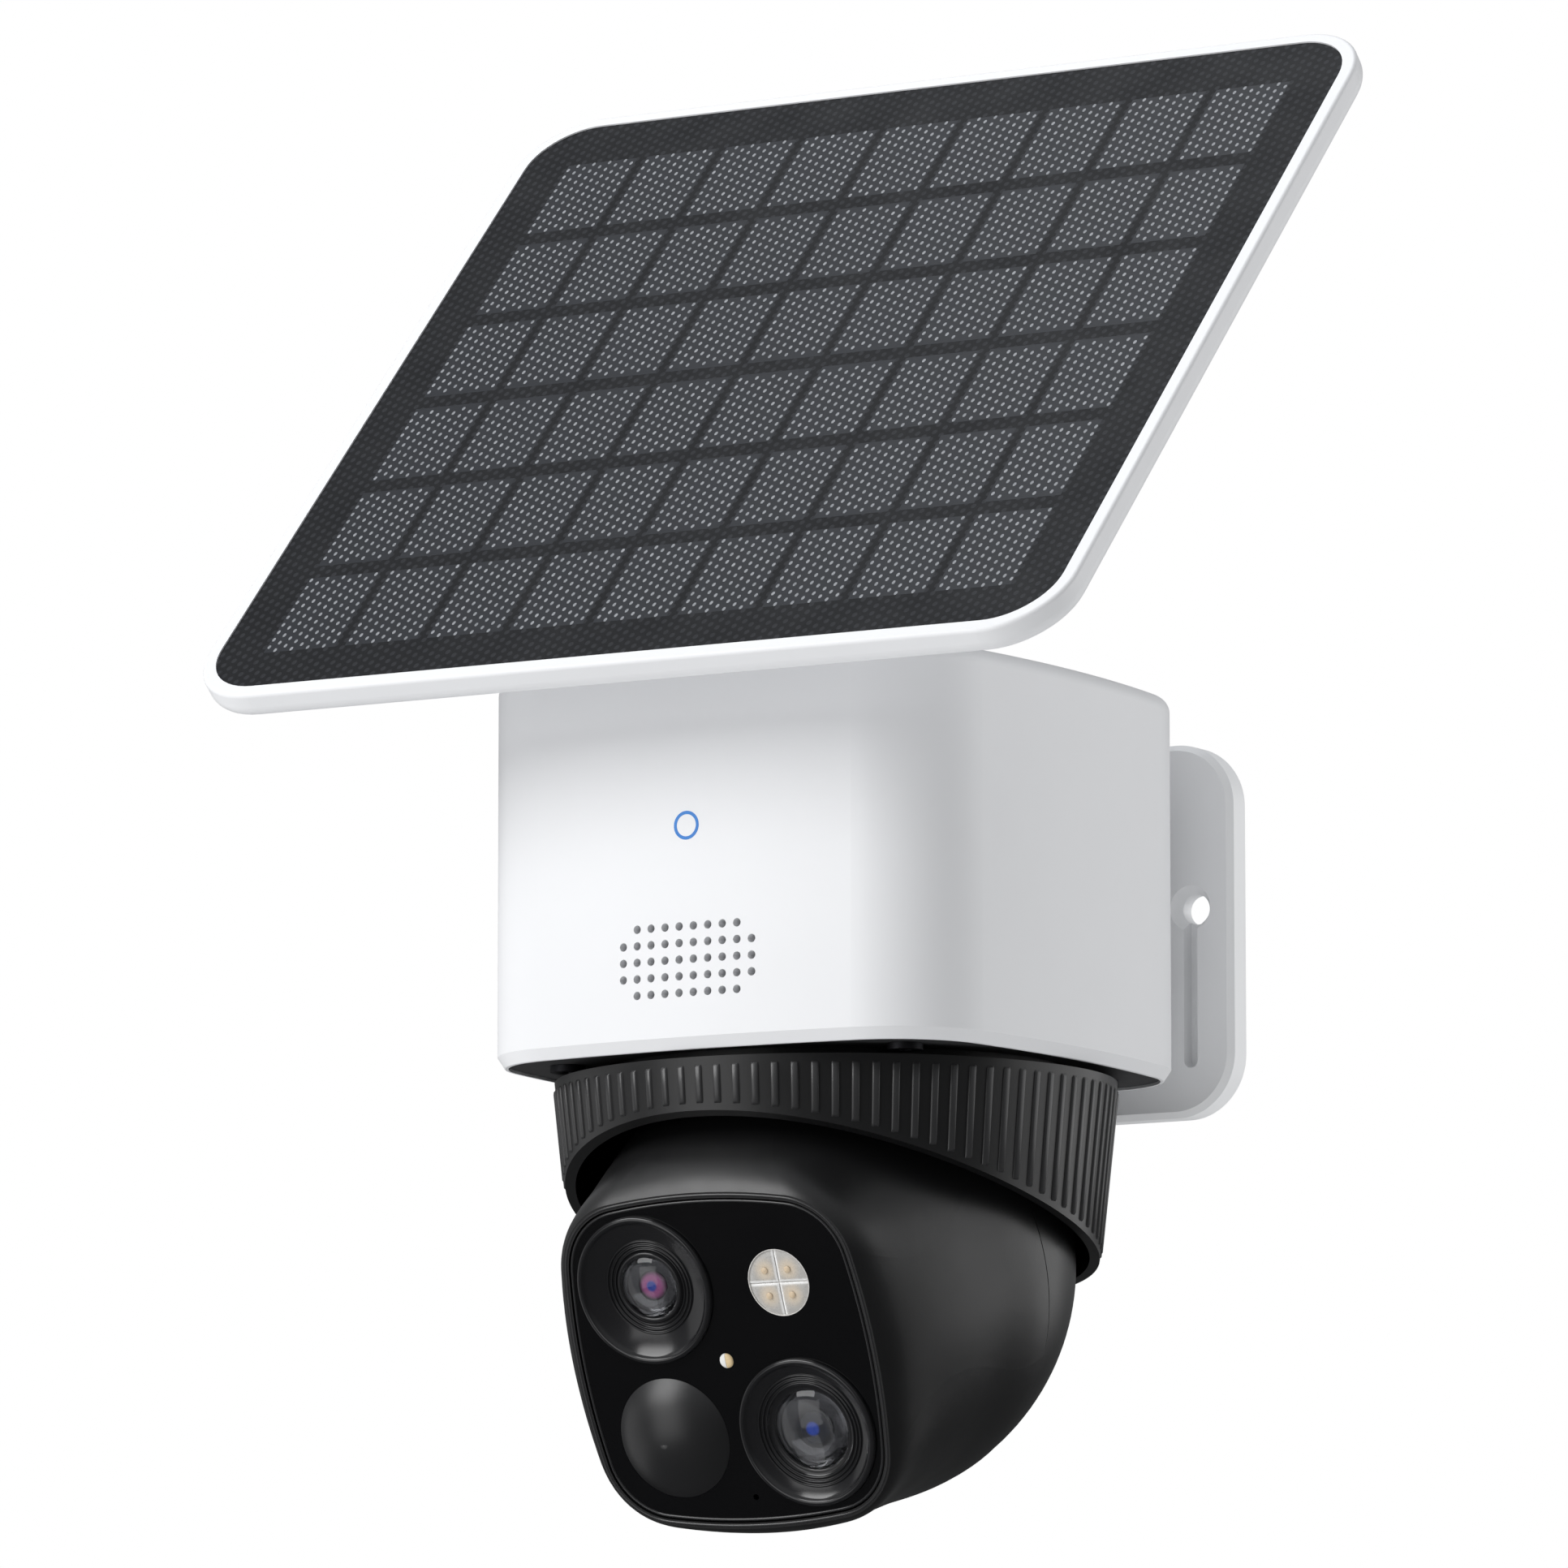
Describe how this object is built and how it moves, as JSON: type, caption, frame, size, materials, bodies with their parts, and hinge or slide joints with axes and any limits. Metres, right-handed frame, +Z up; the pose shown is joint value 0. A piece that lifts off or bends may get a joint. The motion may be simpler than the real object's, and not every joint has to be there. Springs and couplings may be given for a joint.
{
  "type": "solar security camera",
  "caption": "Wall-mounted pan and tilt security camera with a diagonal twin-lens ball head under a ribbed hood, and a tilting solar panel above its housing.",
  "frame": {"origin": "midway between the two screw holes, on the wall bracket's back face", "axes": "+Z up, +Y into the wall, +X to the viewer's right when looking at the wall"},
  "size_m": [0.1464, 0.115, 0.2233],
  "materials": {
    "white_housing": "fine satin moulded plastic",
    "dark_base": "fine matt moulded plastic",
    "matt_black": "fine matt texture",
    "gloss_black": "polished",
    "lens_black": "satin, stepped rings",
    "lens_glass": "coated",
    "lamp_lens": "frosted, translucent",
    "sensor_dome": "satin",
    "blue_light": "translucent",
    "rubber": "matt",
    "button_grey": "matt",
    "frame_plastic": "moulded",
    "steel": "satin",
    "gear_plastic": "moulded acetal",
    "circuit_board": "solder mask",
    "battery_wrap": "shrink wrap",
    "speaker_black": "moulded",
    "solar_film": "textured film",
    "solar_cell": "dark silicon under textured film"
  },
  "bodies": {
    "wall_mount": {"wall_bracket": "white_housing"},
    "housing": {"housing_shell": "white_housing", "base_plate": "dark_base", "base_screws": "steel", "hook_socket": "white_housing", "chassis": "frame_plastic", "pan_bearing": "steel", "pan_motor": "steel", "battery_cells": "battery_wrap", "main_board": "circuit_board", "antenna_board": "circuit_board", "speaker": "speaker_black", "status_ring": "blue_light", "port_tray": "dark_base", "usb_port": "steel", "swivel_seal": "rubber"},
    "pan_unit": {"pan_hood": "matt_black", "pan_cup": "matt_black", "pan_gear": "gear_plastic", "pan_retainer": "steel", "tilt_arm": "frame_plastic", "tilt_axle": "steel", "tilt_gear": "gear_plastic"},
    "pan_drive": {"pan_pinion": "gear_plastic"},
    "head": {"head_front_shell": "matt_black", "head_rear_shell": "matt_black", "head_seal": "rubber", "face_plate": "gloss_black", "upper_lens_bezel": "lens_black", "upper_lens_barrel": "lens_black", "upper_lens_glass": "lens_glass", "lower_lens_bezel": "lens_black", "lower_lens_barrel": "lens_black", "lower_lens_glass": "lens_glass", "spotlight_lens": "lamp_lens", "spotlight_board": "circuit_board", "pir_dome": "sensor_dome", "pir_sensor": "steel", "indicator_light": "lamp_lens", "microphone": "button_grey", "head_board": "circuit_board", "head_frame": "frame_plastic", "tilt_bushes": "gear_plastic", "tilt_motor": "steel"},
    "tilt_drive": {"tilt_pinion": "gear_plastic"},
    "panel_mount": {"swivel_post": "white_housing", "swivel_retainer": "gear_plastic", "hinge_bolt": "steel", "hinge_nut": "steel"},
    "panel": {"panel_frame": "white_housing", "solar_laminate": "solar_film", "solar_cells": "solar_cell", "hinge_lug": "white_housing", "lug_screws": "steel", "cable_gland": "dark_base"},
    "port_flap": {"port_cover": "rubber"},
    "sync_key": {"sync_button": "button_grey"}
  },
  "joints": [
    {"name": "bracket_slide", "type": "slide", "parent": "wall_mount", "child": "housing", "axis": [0, 0, 1], "range_m": [0, 0.018]},
    {"name": "pan", "type": "hinge", "parent": "housing", "child": "pan_unit", "pos_m": [0, -0.0504, -0.0276], "axis": [0, 0, 1], "range_deg": [-172, 172]},
    {"name": "pan_pinion_spin", "type": "hinge", "parent": "housing", "child": "pan_drive", "pos_m": [0.01874, -0.03166, -0.0146], "axis": [0, 0, 1], "continuous": true},
    {"name": "tilt", "type": "hinge", "parent": "pan_unit", "child": "head", "pos_m": [0, -0.0504, -0.05575], "axis": [1, 0, 0], "range_deg": [-8, 56]},
    {"name": "tilt_pinion_spin", "type": "hinge", "parent": "head", "child": "tilt_drive", "pos_m": [0, -0.03764, -0.06586], "axis": [1, 0, 0], "continuous": true},
    {"name": "panel_swivel", "type": "hinge", "parent": "housing", "child": "panel_mount", "pos_m": [0, -0.0544, 0.0299], "axis": [0, 0, 1], "range_deg": [-90, 90]},
    {"name": "panel_tilt", "type": "hinge", "parent": "panel_mount", "child": "panel", "pos_m": [0, -0.05437, 0.06541], "axis": [1, 0, 0], "range_deg": [-44, 0]},
    {"name": "port_flap_hinge", "type": "hinge", "parent": "housing", "child": "port_flap", "pos_m": [-0.04105, -0.0504, 0.0003], "axis": [0, 1, 0], "range_deg": [0, 100]},
    {"name": "sync_press", "type": "slide", "parent": "housing", "child": "sync_key", "axis": [1, 0, 0], "range_m": [0, 0.001], "stiffness_N_per_m": 600}
  ],
  "couplings": [
    {"joint": "pan_pinion_spin", "follows": "pan", "ratio": -4.5},
    {"joint": "tilt_pinion_spin", "follows": "tilt", "ratio": 4.4}
  ]
}
